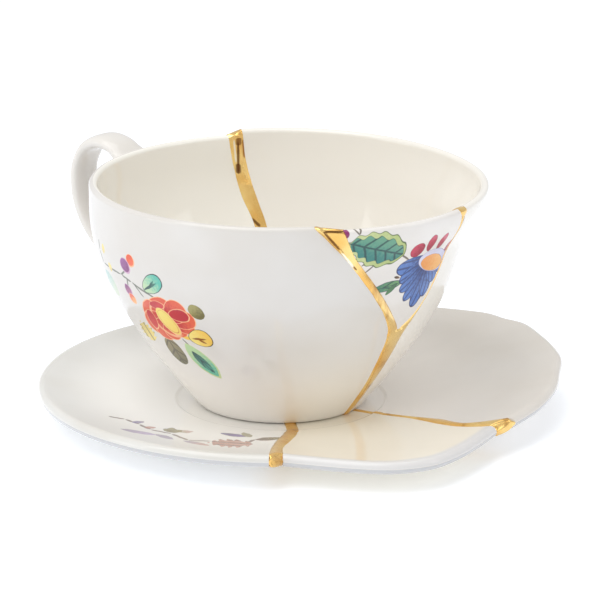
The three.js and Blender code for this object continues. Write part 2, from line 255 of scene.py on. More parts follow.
def cup_point(flared, skin, row, azimuth, proud=0.0):
    """A point of the cup's wall, on the round bowl (0), the flared one (1) or between them."""
    radius, height = row[skin]
    share = row[2]
    turn = azimuth - flare_peak
    spread = flare_before if turn < 0 else flare_after
    rise = smooth(share, flare_from)
    out = (flare_all + flare_reach * math.exp(-(abs(turn / spread) ** flare_fullness))) * rise
    out -= flare_waist * smooth(share, 0.3, 0.7)
    lift = (flare_lift + flare_tilt * math.sin(math.radians(azimuth))) * rise
    if proud:
        (outer_r, outer_h), (inner_r, inner_h) = row[0], row[1]
        thick = math.hypot(outer_r - inner_r, outer_h - inner_h) or 1
        side = proud if skin == 0 else -proud
        radius += side * (outer_r - inner_r) / thick
        height += side * (outer_h - inner_h) / thick
    return polar(radius + flared * out, azimuth, cup_bottom + height + flared * lift)


# Broken edges as (share of the wall's height, azimuth in degrees).
main_front = [
    (0, -42.2), (0.145, -43.4), (0.29, -46.6), (0.461, -49.6), (0.513, -51.8),
    (0.571, -54.9), (0.633, -58.5), (0.77, -66.1), (0.895, -72.9), (1, -79.9),
]
main_back = [(0, 93.3), (0.3, 96), (0.585, 100), (0.708, 103.6), (0.868, 106.2), (1, 107.7)]
flower_left = [
    (0.42, -45.1), (0.466, -45.1), (0.549, -50.1), (0.607, -53.6),
    (0.721, -60.3), (0.807, -65.2), (0.875, -68.5), (1, -72.1),
]
flower_right = [
    (0.42, -44), (0.466, -44), (0.509, -40), (0.561, -36.7), (0.615, -34.5),
    (0.7, -32.2), (0.76, -30.8), (0.82, -30.2), (0.9, -31.2), (1, -34),
]
flared_front = [
    (0, -37), (0.1, -37.2), (0.21, -38.8), (0.37, -40.4), (0.438, -39.9), (0.484, -38.4),
    (0.561, -35.4), (0.62, -33.2), (0.7, -30.9), (0.76, -29.4), (0.82, -28.8), (0.9, -29.4), (1, -31.6),
]
flared_back = [(0, 87.3), (0.3, 91), (0.585, 95.7), (0.685, 98.2), (0.857, 101.9), (1, 103.1)]
flower_tip = 0.466


def edge_at(edge, opposite, share, radius, start_radius):
    """An edge's azimuth. Inside the foot, both edges of a seam run straight towards the middle."""
    azimuth = along(edge, share)
    if share > 0 or radius >= start_radius:
        return azimuth
    middle = (along(edge, 0) + along(opposite, 0)) / 2
    return middle + (azimuth - middle) * start_radius / radius


def cup_spans(rows, start, end, turn=0):
    """The azimuths of two broken edges at each row, the edges given with their opposites."""
    spans = []
    for (radius, _), _, share in rows:
        first = edge_at(*start, share, radius, cup_foot_radius)
        spans.append((first, edge_at(*end, share, radius, cup_foot_radius) + turn))
    return spans


def cup_shape(rows, start, end, flared, turn=0):
    """The shape of a shard of the cup between two broken edges, given with their opposites."""
    spans = cup_spans(rows, start, end, turn)

    def shape(skin, row, across):
        first, last = spans[row]
        azimuth = first + (last - first) * across
        return cup_point(flared, skin, rows[row], azimuth), azimuth

    return shape


def up_the_wall(row):
    """How far a row lies up the outside of the wall, in millimetres from the foot."""
    steps = 40
    length = 0
    height = row[0][1]
    for k in range(steps):
        low, high = height * k / steps, height * (k + 1) / steps
        length += math.hypot(high - low, body_radius(high) - body_radius(low))
    return length


def painted_from(azimuth_0):
    """Millimetres round the wall from one azimuth, and up it. Only the outside is painted."""
    known = {}

    def painted(skin, row, azimuth):
        if row not in known:
            known[row] = up_the_wall(row)
        round_wall = math.radians((azimuth - azimuth_0 + 180) % 360 - 180) * row[0][0]
        return round_wall, known[row], 1 - skin

    return painted


main_rows = cup_base_rows(cup_pool) + cup_wall_rows()
main_turn = 211
cup_main = spun("cup_main", main_rows, main_turn, 211)
main_shape = cup_shape(main_rows, (main_back, flared_back), (main_front, flared_front), 0, 360)
shaped(cup_main, main_rows, main_turn, main_shape, painted_from(-125))

# The handle is a strap, thinner at its sides, which spreads where it grows out of the wall. Its line is
# given outwards from the wall and down from the lip.
handle_azimuth = 144
handle_width = 13.5
handle_low_width = 10
handle_thickness = 4.4
handle_spread = 1.9
spread_reach = 2.2
spread_fade = 1.3
handle_line = [
    (-1.4, 3.4), (6, -1.5), (13.7, -1.2), (19, 4.6), (20.5, 13),
    (18.7, 22.2), (12.6, 31.7), (3.7, 38.7), (-6, 43.4), (-13.2, 46.1),
]


def column(ring, steps):
    """A disc of a ring of points, extruded upwards one unit a step."""
    bpy.ops.mesh.primitive_circle_add(vertices=ring, radius=1, fill_type="NGON")
    bar = bpy.context.object
    bpy.ops.object.mode_set(mode="EDIT")
    bpy.ops.mesh.select_all(action="SELECT")
    for _ in range(steps):
        bpy.ops.mesh.extrude_region_move(TRANSFORM_OT_translate={"value": (0, 0, 1)})
    bpy.ops.object.mode_set(mode="OBJECT")
    return bar


def through(points, count):
    """Evenly spaced points on a smooth curve through the given ones, and the curve's length."""
    bpy.ops.curve.primitive_bezier_curve_add()
    guide = bpy.context.object
    guide.data.splines.clear()
    spline = guide.data.splines.new("BEZIER")
    spline.bezier_points.add(len(points) - 1)
    for knot, point in zip(spline.bezier_points, points):
        knot.co = point
        knot.handle_left_type = knot.handle_right_type = "AUTO"
    guide.data.resolution_u = 24
    bpy.ops.object.convert(target="MESH")
    fine = [vertex.co.copy() for vertex in bpy.context.object.data.vertices]
    bpy.data.objects.remove(bpy.context.object)
    reach = [0]
    for a, b in zip(fine, fine[1:]):
        reach.append(reach[-1] + (b - a).length)
    points, k = [], 0
    for i in range(count + 1):
        want = reach[-1] * i / count
        while k < len(fine) - 2 and reach[k + 1] < want:
            k += 1
        part = (want - reach[k]) / (reach[k + 1] - reach[k])
        points.append(fine[k].lerp(fine[k + 1], part))
    return points, reach[-1]


strap_rows = 120
strap_points = [(cup_body_radius + out, 0, cup_bottom + cup_height - under) for out, under in handle_line]
strap_line, strap_length = through(strap_points, strap_rows)
strap = column(40, strap_rows)
for vertex in strap.data.vertices:
    k = round(vertex.co.z)
    share = k / strap_rows
    ahead = strap_line[min(k + 1, strap_rows)] - strap_line[max(k - 1, 0)]
    ahead.normalize()
    root = min(k, strap_rows - k) * strap_length / strap_rows
    spread = handle_spread * math.exp(-max(0, root - spread_reach) / spread_fade)
    width = handle_width + (handle_low_width - handle_width) * share + 2 * spread
    side, out = vertex.co.x, vertex.co.y
    side = math.copysign(abs(side) ** 0.75, side)
    out = math.copysign(abs(out) ** 0.85, out) * (handle_thickness / 2 + spread * share)
    vertex.co = strap_line[k] + Vector((-ahead.z * out, side * width / 2, ahead.x * out))
strap.rotation_euler.z = math.radians(handle_azimuth)
bpy.ops.object.transform_apply(location=True, rotation=True, scale=True)
faces_out()
bpy.context.view_layer.objects.active = cup_main
join = cup_main.modifiers.new("handle", "BOOLEAN")
join.operation = "UNION"
join.solver = "EXACT"
join.object = strap
bpy.ops.object.modifier_apply(modifier="handle")
bpy.data.objects.remove(strap)

# The union gives the strap stray paint places, so it and the outer wall near it are marked as bare wall.
# Their height of 32 mm up the wall sets how much of the wall's painted light they get.
bare_wall = (-98, 32, 1)
strap_side = 12
for vertex, mark in zip(cup_main.data.vertices, cup_main.data.attributes["paint"].data):
    x, y, z = vertex.co
    beside = abs(math.degrees(math.atan2(y, x)) - handle_azimuth) < strap_side
    if beside and math.hypot(x, y) > body_radius(z - cup_bottom) - cup_wall * 0.4:
        mark.vector = bare_wall
finished(cup_main, 70)
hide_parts("cup_main_shard")


class Value:
    """A shader socket that takes part in sums, each of which adds a Math node."""

    def __init__(self, tree, socket):
        self.tree, self.socket = tree, socket

    def with_(self, operation, *others):
        return node(self.tree, "Math", {"operation": operation}, self, *others)

    def __add__(self, other):
        return self.with_("ADD", other)

    def __sub__(self, other):
        return self.with_("SUBTRACT", other)

    def __mul__(self, other):
        return self.with_("MULTIPLY", other)

    def __pow__(self, other):
        return self.with_("POWER", other)

    def __rsub__(self, other):
        return node(self.tree, "Math", {"operation": "SUBTRACT"}, other, self)

    def __abs__(self):
        return self.with_("ABSOLUTE")

    __radd__ = __add__
    __rmul__ = __mul__

    def between(self, low, high):
        """0 at low and 1 at high, with a soft step between them."""
        settings = {"interpolation_type": "SMOOTHSTEP"}
        return node(self.tree, "MapRange", settings, self, low, high, 0.0, 1.0)


def node(tree, kind, settings, *inputs, out=0, **named):
    """Adds a shader node, sets it up, feeds its sockets in order or by name, and gives one output."""
    made = tree.nodes.new("ShaderNode" + kind)
    for name, value in settings.items():
        setattr(made, name, value)
    fed = list(zip(made.inputs, inputs))
    fed += [(made.inputs[name], value) for name, value in named.items()]
    for socket, value in fed:
        if isinstance(value, Value):
            tree.links.new(value.socket, socket)
        elif value is not None:
            socket.default_value = value
    return Value(tree, made.outputs[out])


def mixed(tree, share, a, b):
    """A colour between a and b, which go into the node's seventh and eighth sockets."""
    return node(tree, "Mix", {"data_type": "RGBA"}, share, *[None] * 5, a, b, out=2)


def rgb(red, green, blue):
    """A colour as seen on a screen, 0 to 255, as the linear light that shaders take."""
    linear = []
    for part in (red, green, blue):
        linear.append(((part / 255 + 0.055) / 1.055) ** 2.4 if part > 10 else part / 3294)
    return (*linear, 1)


def glaze(name, color, waver=0.5):
    """Glossy porcelain, barely mottled, under a glaze that ripples very slightly, ready for painting."""
    material = bpy.data.materials.new(name)
    material.use_nodes = True
    tree = material.node_tree
    shader = tree.nodes["Principled BSDF"]
    shader.inputs["IOR"].default_value = 1.5
    place = node(tree, "TexCoord", {}, out="Object")
    broad = node(tree, "TexNoise", {}, Vector=place, Scale=28.0, Detail=3.0)
    fine = node(tree, "TexNoise", {}, Vector=place, Scale=420.0, Detail=2.0)
    pale = tuple(min(1, c * 1.03) for c in color[:3]) + (1,)
    deep = (color[0] * 0.97, color[1] * 0.955, color[2] * 0.93, 1)
    body = mixed(tree, broad.between(0.3, 0.7), deep, pale)
    rough = fine * 0.05 + 0.05
    tree.links.new(rough.socket, shader.inputs["Roughness"])
    ripple = node(tree, "TexNoise", {}, Vector=place, Scale=95.0, Detail=1.0)
    bump = node(tree, "Bump", {}, Strength=0.25, Distance=0.00006, Height=ripple)
    tree.links.new(bump.socket, shader.inputs["Normal"])
    return Painting(material, body, waver)


class Painting:
    """Colours laid one upon another over a ground, measured in millimetres on the surface.

    A piece's "paint" attribute holds two such places and a layer. Paint shows where the layer is 1 or
    more, and waver is how far its edges stray."""

    def __init__(self, material, ground, waver):
        self.material, self.color = material, ground
        self.tree = tree = material.node_tree
        spot = node(tree, "Attribute", {"attribute_name": "paint"}, out="Vector")
        self.layer = node(tree, "SeparateXYZ", {}, spot, out="Z")
        self.front = self.layer.between(0.5, 1.0)
        self.up = node(tree, "SeparateXYZ", {}, spot, out="Y")
        drift = node(tree, "TexNoise", {}, Vector=spot, Scale=0.5, Detail=2.0, out="Color")
        by = (waver, waver, 0)
        drift = node(tree, "VectorMath", {"operation": "MULTIPLY"}, drift, by)
        drift = node(tree, "VectorMath", {"operation": "SUBTRACT"}, drift, (waver / 2, waver / 2, 0))
        self.spot = node(tree, "VectorMath", {"operation": "ADD"}, spot, drift)
        self.cloud = node(tree, "TexNoise", {}, Vector=spot, Scale=1.1, Detail=2.0)

    def shade(self, place, low, high, first):
        """Up to low the ground has another colour, which shades into its own by high."""
        self.color = mixed(self.tree, place.between(low, high), first, self.color)

    def frame(self, start, end, width):
        """A motif's own coordinates: a from -1 at its start to 1 at its end, b from -1 to 1 across."""
        ahead, up = end[0] - start[0], end[1] - start[1]
        middle = ((start[0] + end[0]) / 2, (start[1] + end[1]) / 2, 0)
        turn = (0, 0, math.atan2(up, ahead))
        size = (math.hypot(ahead, up) / 2, width / 2, 1)
        inside = node(self.tree, "Mapping", {"vector_type": "TEXTURE"}, self.spot, middle, turn, size)
        a = node(self.tree, "SeparateXYZ", {}, inside)
        return a, Value(self.tree, a.socket.node.outputs[1])

    def lay(self, share, color):
        """A colour over what is there, as dense as share says."""
        self.color = mixed(self.tree, share * self.front, self.color, color)

    def stroke(self, points, width, color):
        """A thin line of straight strokes, each a little thinner at its ends."""
        line = None
        for start, end in zip(points, points[1:]):
            a, b = self.frame(start, end, width)
            part = (1 - a**6 - abs(b)).between(-0.2, 0.5)
            line = line.with_("MAXIMUM", part) if line else part
        self.lay(line * 0.85, color)

    def blade(self, start, end, width, fill, far, line, power=1.5, skew=0.0, rim=0.0, teeth=0.0,
              lengthwise=True, veins=0.0, streaks=0.0, strength=1.0):
        """A leaf or petal: fill runs into far, with an outline and veins or streaks of line."""
        a, b = self.frame(start, end, width)
        side = abs(b)
        edge = (1 - a * a) * (a * skew + 1).with_("MAXIMUM", 0.1) - side**power
        if teeth:
            edge = edge + (a * 16 + side * 3).with_("SINE") * teeth
        soft = 0.7 / width
        if rim:
            self.lay(edge.between(-soft / 2, soft / 2) * strength, line)
        inner = (edge - (a * 0.35 + 0.65) * rim).between(-soft / 2, soft / 2)
        fade = (a if lengthwise else b) + (self.cloud - 0.5) * 1.6
        self.lay(inner * strength, mixed(self.tree, fade.between(-0.8, 0.8), fill, far))
        if veins:
            rib = (0.11 - side).between(0.0, 0.08)
            branch = (side * 5 - a * veins).with_("SINE").between(0.55, 1.0)
            self.lay(inner * rib.with_("MAXIMUM", branch) * 0.8, line)
        if streaks:
            self.lay(inner * (b * streaks + a * 2).with_("SINE").between(0.2, 1.0) * 0.75, line)

    def rings(self, start, end, width, count, color):
        """Curved lines round one side of a flower's heart."""
        a, b = self.frame(start, end, width)
        reach = (a * a + b * b) ** 0.5
        line = (reach * count * math.tau).with_("COSINE").between(0.35, 0.95)
        one_side = (0 - b).between(-0.2, 0.15)
        self.lay(line * (0.86 - reach).between(0.0, 0.06) * one_side * 0.85, color)

    def coat(self, piece):
        """Puts the colours on their ground, and both on a piece."""
        shader = self.tree.nodes["Principled BSDF"]
        self.tree.links.new(self.color.socket, shader.inputs["Base Color"])
        piece.data.materials.append(self.material)


# The main shard's spray: a peony, leaves of several greens and buds, on a thin dark stem.
spray = glaze("white_glaze", rgb(218, 215, 211))
# Painted light: the outer wall is painted lighter low down, against the shade near the saucer, and darker
# higher up, where the light falls strongest. The inside is painted lighter than the wall's upper outside,
# against the shade within the bowl.
spray.shade(spray.up, 2, 44, rgb(252, 248, 242))
spray.shade(spray.layer, 0.4, 0.6, rgb(242, 239, 231))
stem_green = rgb(88, 96, 82)
deep_green = rgb(52, 80, 80)
lilac = rgb(205, 165, 195)
purple = rgb(132, 70, 122)
flame = rgb(226, 92, 62)
apricot = rgb(244, 186, 142)
crimson = rgb(188, 42, 52)
scarlet = rgb(206, 62, 60)
lemon = rgb(240, 218, 122)
straw = rgb(225, 205, 130)
amber = rgb(238, 206, 104)
bronze = rgb(150, 92, 44)
dark_bronze = rgb(140, 86, 40)

# The stem and its twigs.
main_stem = [(-37.9, 70), (-38.3, 66), (-37, 61.8), (-23.1, 61.3), (-17.8, 59.8), (-6.7, 56)]
spray.stroke(main_stem, 0.85, stem_green)
spray.stroke([(-17.3, 60.2), (-12.9, 55.1)], 0.65, stem_green)
spray.stroke([(-23.3, 61.3), (-20.4, 63.2)], 0.8, stem_green)
spray.stroke([(-20, 60.5), (-20.6, 57.5)], 0.8, stem_green)
spray.stroke([(-1.6, 41), (1, 37)], 0.7, stem_green)

# A faded leaf and the buds.
faded = rgb(120, 186, 178), rgb(190, 210, 168), lilac
mallow, rose = rgb(150, 92, 150), rgb(178, 108, 140)
spray.blade((-37.6, 59), (-31, 50.4), 7.5, *faded, strength=0.7)
spray.blade((-34, 69.2), (-34.8, 65.6), 2.6, lemon, straw, lilac)
spray.blade((-31.3, 63.5), (-30.6, 60.2), 2.6, lemon, straw, lilac)
spray.blade((-17.6, 69.8), (-15.2, 65.9), 4.2, flame, rgb(236, 112, 76), apricot, 2, rim=0.42)
spray.blade((-21.9, 67.4), (-17.6, 63.3), 5.0, mallow, purple, lilac, 2, rim=0.42)
spray.blade((-22.2, 58.2), (-20, 53.6), 4.0, purple, rose, lilac, rim=0.4)
spray.blade((-21.1, 54.8), (-18.7, 51.1), 3.6, flame, rgb(246, 176, 110), apricot, rim=0.3)

# The leaves: a fringed yellow one, a turquoise one with its veins, an olive one and a green one. Where
# three colours have one name, they are a leaf's fill, its far end and its line.
olive_line, ink = rgb(120, 112, 60), rgb(44, 60, 66)
turquoise, pale_turquoise = rgb(96, 186, 168), rgb(190, 216, 176)
khaki = rgb(142, 130, 96), rgb(112, 108, 78), rgb(78, 74, 60)
mint = rgb(180, 208, 154), rgb(92, 184, 156), rgb(196, 212, 150)
pine = rgb(48, 98, 92), rgb(62, 146, 130), rgb(26, 54, 58)
spray.blade((-21.4, 42.6), (-17.2, 35.2), 8.4, rgb(214, 190, 92), lemon, olive_line, teeth=0.25, streaks=7)
spray.blade((-12.0, 58.4), (-3.4, 64.3), 6.4, pale_turquoise, turquoise, ink, 2.2, 0.3, 0.22)
spray.blade((-11.9, 58.4), (-5.6, 62.2), 0.9, deep_green, rgb(70, 120, 110), lilac)
spray.blade((-8.9, 60.2), (-6.6, 62.9), 0.8, deep_green, rgb(70, 130, 116), lilac)
spray.blade((-8.7, 39.6), (-6.2, 27.4), 7.4, *khaki, 2, veins=9)
spray.blade((-1.2, 39), (6.2, 23.6), 7.8, *mint, 1.3, rim=0.24)
spray.blade((0.2, 35.6), (5, 26.2), 3.6, *pine, 1.3, veins=7)

# The peony: outer petals round a heart, ruffled by rings, then the inner petals.
peony_heart = (-4.6, 48)
peony_petals = [
    ((-8.4, 56.6), 11), ((-15.6, 50.6), 11), ((-16, 43.8), 10), ((-11, 39.8), 9), ((-5.2, 39.6), 7),
    ((1, 42.6), 7), ((5.4, 46.6), 7), ((6.6, 51.2), 8), ((3.0, 56.2), 8.5),
]
for tip, wide in peony_petals:
    spray.blade(peony_heart, tip, wide, crimson, rgb(222, 96, 66), apricot, 2, 0.35, 0.16)
spray.rings((-11.6, 58.6), (1.3, 38.2), 21, 3.4, apricot)
spray.blade((-12.9, 50.6), (-11.8, 42.4), 4.4, crimson, scarlet, apricot, 2, rim=0.24)
spray.blade((-11.2, 53.2), (-4.2, 54.0), 3.2, crimson, scarlet, apricot, 2, rim=0.24)
spray.blade((-3.8, 50.6), (4.8, 51.8), 5.2, crimson, rgb(184, 40, 54), apricot, 2, 0.45, 0.28)
spray.blade((-8.2, 52.4), (-1.6, 42.4), 6.2, lemon, amber, apricot, 2, rim=0.14)
spray.blade((-7.6, 51.6), (-2.2, 43.2), 5.0, lemon, amber, crimson, 2, rim=0.1)

# The round leaves to its right, one olive and one yellow with bronze veins.
sage = rgb(158, 150, 92), rgb(112, 104, 62), rgb(84, 78, 48)
spray.blade((6.0, 56.2), (9.9, 51.6), 5.2, *sage, 2, rim=0.05)
spray.blade((-0.8, 41.5), (3.4, 42.2), 1.6, rgb(240, 200, 90), rgb(236, 196, 84), lemon)
spray.blade((1.6, 41.6), (10.2, 43.8), 7.4, lemon, rgb(236, 192, 84), rgb(66, 60, 44), 2.2, 0.45, 0.2)
spray.blade((2.8, 42.0), (8.0, 42.6), 1.0, bronze, dark_bronze, lemon)
spray.blade((4.8, 42.2), (7.6, 40.6), 0.8, bronze, dark_bronze, lemon)
spray.coat(cup_main)


# The flower shard: a wedge of white porcelain from a painted cup, pointed below. It is spun and pushed
# to its edges like the main shard, on the flared wall, and set a little proud of its neighbours.
flower_proud = 0.25
flower_turn = 40
flower_rows = cup_wall_rows(flower_tip, count=90)
cup_flower = spun("cup_flower", flower_rows, flower_turn, 110)
flower_round = cup_shape(flower_rows, (flower_left, flower_right), (flower_right, flower_left), 1)


def flower_shape(skin, row, across):
    """The shard's place on the flared wall, moved out a little."""
    point, azimuth = flower_round(skin, row, across)
    return point + polar(flower_proud, azimuth, 0), azimuth


shaped(cup_flower, flower_rows, flower_turn, flower_shape, painted_from(-52))
finished(cup_flower)
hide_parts("cup_flower_shard")

# Its painting: twigs, a bud, a small leaf and a large toothed one, then the flower.
spray = glaze("flower_glaze", rgb(231, 228, 225), 0.35)
spray.shade(spray.layer, 0.4, 0.6, rgb(234, 230, 221))
twig = rgb(84, 72, 56)
leaf_line = rgb(36, 60, 66)
spray.stroke([(-14.8, 71.0), (-11.8, 72.8), (-8, 74.6)], 0.65, twig)
spray.stroke([(-13.2, 68), (-9.8, 71), (-6.2, 74.2)], 0.65, twig)
spray.stroke([(-4, 75.4), (3.6, 70)], 0.7, twig)
spray.stroke([(-18.6, 85.6), (-17.1, 83), (-15.9, 80.4)], 0.6, twig)
spray.stroke([(-15.8, 85.4), (-17.1, 83)], 0.6, twig)
spray.blade((-22.0, 86), (-21.2, 81.8), 3.0, rgb(150, 58, 120), rgb(130, 48, 96), rgb(110, 40, 84))
small_leaf = rgb(70, 128, 104), rgb(112, 158, 106), leaf_line
spray.blade((-9.6, 61.2), (2.8, 62.6), 3.4, *small_leaf, 1.3, rim=0.2, veins=6)
spray.blade((-3.6, 58.9), (0.4, 62.4), 1.9, rgb(84, 128, 84), rgb(70, 110, 78), leaf_line, rim=0.2)
spray.blade((-1.3, 64.9), (1.1, 64.2), 0.9, twig, rgb(110, 80, 60), twig)
leaf_rim = rgb(198, 208, 150), rgb(176, 192, 122), rgb(84, 104, 62)
teal = rgb(56, 128, 122), rgb(104, 160, 134), leaf_line
spray.blade((-20.4, 80.4), (0.2, 73), 12.8, *leaf_rim, 1.35, 0.1, 0.09, 0.08)
spray.blade((-20.6, 80.4), (-0.4, 73.2), 9.2, *teal, 1.2, 0.1, 0.05, 0.14, False, 17)

# The flower: crimson sepals and a bud, a fan of blue petals, and an orange heart in a pale collar.
claret, light_claret, claret_line = rgb(160, 32, 66), rgb(196, 62, 90), rgb(104, 24, 52)
for tip, wide in [((10, 78.4), 3.6), ((16.7, 77.4), 3.5), ((24.9, 73.2), 3.0)]:
    foot = (tip[0] * 0.7 + 4.2, tip[1] * 0.55 + 28.6)
    spray.blade(foot, tip, wide, claret, light_claret, claret_line, 1.7, 0.2, 0.12)
spray.blade((2.8, 74.8), (8.0, 72.2), 5.4, rgb(196, 66, 94), rgb(160, 30, 66), claret_line, 2, rim=0.12)
blue = rgb(30, 52, 116), rgb(90, 126, 194), rgb(38, 44, 92)
fan_foot = (14.6, 68.4)
fan = [
    ((-0.8, 67.0), 6.4), ((1.2, 62.6), 5.4), ((2.2, 58.8), 5.4), ((5.0, 54.8), 5.6),
    ((9.8, 51.2), 6.2), ((14.6, 54.2), 5.8), ((18.6, 59.0), 5.4), ((22.4, 62.6), 4.6),
]
for tip, wide in fan:
    spray.blade(fan_foot, tip, wide, *blue, 2, 0.35, 0.14, streaks=9)
collar = rgb(214, 212, 232), rgb(196, 196, 222), rgb(92, 84, 130)
orange = rgb(232, 150, 66), rgb(240, 178, 96), rgb(112, 66, 52)
spray.blade((8.6, 69.4), (24.2, 65.4), 8.2, *collar, 2, 0, 0.07)
spray.blade((10.0, 68.0), (22.0, 65.2), 6.0, *orange, 2, 0, 0.07)
spray.coat(cup_flower)


# The flared shard: the wide side of another cup, in plain, warmer porcelain, whose lip leans out.
# It is spun and pushed to its broken edges like the main shard, on the flared wall.
flared_turn = 132
flared_rows = cup_base_rows(cup_pool) + cup_wall_rows()
cup_flared = spun("cup_flared", flared_rows, flared_turn, 150)
flared_shape = cup_shape(flared_rows, (flared_front, main_front), (flared_back, main_back), 1)
shaped(cup_flared, flared_rows, flared_turn, flared_shape, painted_from(0))
finished(cup_flared)
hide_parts("cup_flared_shard")
wall = glaze("warm_glaze", rgb(240, 237, 231))
# Painted light: the outer wall is painted lighter low down, against the shade near the saucer, and shades
# into the glaze's own colour by 50 mm up.
wall.shade(wall.up, 2, 50, rgb(253, 248, 241))
wall.shade(wall.layer, 0.4, 0.6, rgb(237, 233, 225))
wall.coat(cup_flared)


# The cup's gold: lacquer dusted with gold, laid into the breaks until it stands a little proud and
# laps over their edges. Each seam is a bar wrapped between two edges, and all are fused together.
gold_lap = 0.3
gold_proud = 0.42
gold_sink = 0.5
gold_skirt = 0.4
gold_points = 12
gold_grain = 0.28
gold_rounds = 5


def gold_bar(rows, shape):
    """A bar of gold with one ring of points a row: shape gives a point from row, across and face."""
    ring = 2 * gold_points
    bar = column(ring, rows - 1)
    for vertex in bar.data.vertices:
        row = round(vertex.co.z)
        around = round(math.atan2(vertex.co.y, vertex.co.x) / math.tau * ring) % ring
        face = 0 if around < gold_points else 1
        place = around % gold_points / (gold_points - 1)
        vertex.co = shape(row, place if face == 0 else 1 - place, face)
    return bar


def dome(across, width, wobble, lap):
    """How proud the gold stands at a place across a seam: a low dome, sunk beyond the edges."""
    edge = width / 2 + lap + wobble
    at = (across * 2 - 1) * (edge + gold_skirt)
    if abs(at) > edge:
        return at, -gold_sink * (abs(at) - edge) / gold_skirt
    low = gold_proud * min(1, 0.45 + width / 6)
    return at, low * (1 - (at / edge) ** 2) + 0.03


def laid(span, radius, ripple, across, face, narrow=1.0, lap=gold_lap):
    """Where a seam's gold lies in its span of azimuths: how proud, its share of the way, its azimuth."""
    first, last = span
    degree = math.radians(1) * radius
    width = (last - first) * degree * narrow
    wobble = 0.12 * noise.noise(Vector((ripple, first * 0.3, face * 9)))
    at, proud = dome(across, width, wobble, lap)
    part = min(1, max(0, 0.5 + at / max(width, 0.2)))
    return proud, part, (first + last) / 2 + at / degree


def cup_seam(start, end, rows, flared_start, flared_end, bead=None, thin=False):
    """One seam of the cup between two broken edges."""
    spans = cup_spans(rows, (start, end), (end, start))

    def shape(row, across, face):
        radius, share = rows[row][0][0], rows[row][2]
        narrow, lap = 1, gold_lap
        if thin:
            narrow = 1 - 0.75 * smooth(share, 0.68, 0.8) * (1 - smooth(share, 0.95, 0.98))
            narrow *= 1 + 0.9 * smooth(share, 0.95, 0.985)
            lap = 0.1
        proud, part, azimuth = laid(spans[row], radius, row * 0.11, across, face, narrow, lap)
        if bead:
            proud += bead(share, part, face)
        flared = flared_start + (flared_end - flared_start) * part
        return cup_point(flared, face, rows[row], azimuth, proud)

    return gold_bar(len(rows), shape)


def fused(name, bars):
    """Joins the bars into one lump of gold and lets it flow smooth."""
    bpy.ops.object.select_all(action="DESELECT")
    for bar in bars:
        bar.select_set(True)
    bpy.context.view_layer.objects.active = bars[0]
    bpy.ops.object.join()
    lump = bpy.context.object
    lump.name = lump.data.name = name
    faces_out()
    remesh = lump.modifiers.new("fuse", "REMESH")
    remesh.mode = "VOXEL"
    remesh.voxel_size = gold_grain
    bpy.ops.object.modifier_apply(modifier="fuse")
    flow = lump.modifiers.new("flow", "SMOOTH")
    flow.factor = 0.5
    flow.iterations = gold_rounds
    bpy.ops.object.modifier_apply(modifier="flow")
    return lump


def pool_bar(radius, bottom, top):
    """A round pool of gold at the middle of a floor, where the seams meet."""
    bpy.ops.mesh.primitive_uv_sphere_add(segments=48, ring_count=24, radius=1)
    pool = bpy.context.object
    for vertex in pool.data.vertices:
        x, y, z = vertex.co
        level = math.copysign(abs(z) ** 0.5, z)
        vertex.co = (x * radius, y * radius, (top + bottom) / 2 + level * ((top - bottom) / 2 + 0.4))
    return pool


def rim_wedge(share, part, face):
    """At the lip the left seam widens to a wedge: a bead along the old edge, and a flat beside it."""
    high = smooth(share, 0.84, 0.9)
    bead = 0.75 * math.exp(-(((part - 0.1) / 0.1) ** 2))
    return high * (bead - 0.45 * smooth(part, 0.16, 0.24) * (1.2 - part))


def back_drip(share, part, face):
    """A drop that ran and set near the lip of the seam at the back, inside."""
    if face == 0:
        return 0
    return 1.1 * smooth(share, 0.765, 0.79) * math.exp(-(((part - 0.4) / 0.24) ** 2)) - 0.1


seam_base = cup_base_rows(cup_pool * 0.75)
whole_rows = seam_base + cup_wall_rows(count=150)
stem_rows = seam_base + cup_wall_rows(last=flower_tip - 0.004, count=70)
fork_rows = cup_wall_rows(flower_tip - 0.03, count=110)
left_seam = cup_seam(main_front, flower_left, fork_rows, 0, 1, rim_wedge)
right_seam = cup_seam(flower_right, flared_front, fork_rows, 1, 1, thin=True)
stem_seam = cup_seam(main_front, flared_front, stem_rows, 0, 1)
back_seam = cup_seam(flared_back, main_back, whole_rows, 1, 0, back_drip)
cup_pool_bar = pool_bar(cup_pool + 0.4, cup_bottom + cup_recess, cup_bottom + cup_recess + cup_floor)
cup_gold = fused("cup_gold", [left_seam, right_seam, stem_seam, back_seam, cup_pool_bar])

# On the gold, a place for the painted shade and highlights is the one seen from the front, so a line shows
# on both faces of a seam.
seen = cup_gold.data.attributes.new("paint", "FLOAT_VECTOR", "POINT")
for vertex, mark in zip(cup_gold.data.vertices, seen.data):
    mark.vector = (vertex.co.x, vertex.co.z, 1)
finished(cup_gold, 60)
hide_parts("cup_gold_seam")


# Painted shade and dark reflections, and painted highlights, in the gold near the lip, as (start, end,
# width, colour).
painted_gold_shade, painted_gold_highlight = rgb(104, 60, 24), rgb(255, 248, 230)
painted_gold_lights = [
    ((13.2, 78.5), (19.8, 78.6), 0.9, painted_gold_shade),
    ((13.5, 78.6), (18.6, 72.4), 0.8, painted_gold_shade),
    ((21.9, 67.6), (23.9, 65.1), 0.6, painted_gold_shade),
    ((18.9, 71.6), (22.9, 66.2), 1.0, painted_gold_highlight),
    ((-14.6, 79.4), (-14.6, 76.6), 2.2, rgb(128, 78, 32)),
    ((-14.8, 78.2), (-14.7, 66.8), 1.0, painted_gold_shade),
    ((-14.8, 70.4), (-14.7, 66.6), 2.1, painted_gold_shade),
    ((-16.2, 78.8), (-15.5, 70.4), 0.8, painted_gold_highlight),
    ((-13.2, 78.5), (-12.7, 72.0), 0.8, rgb(150, 96, 40)),
    ((-10.4, 51.6), (-7.2, 49.0), 1.2, painted_gold_shade),
]


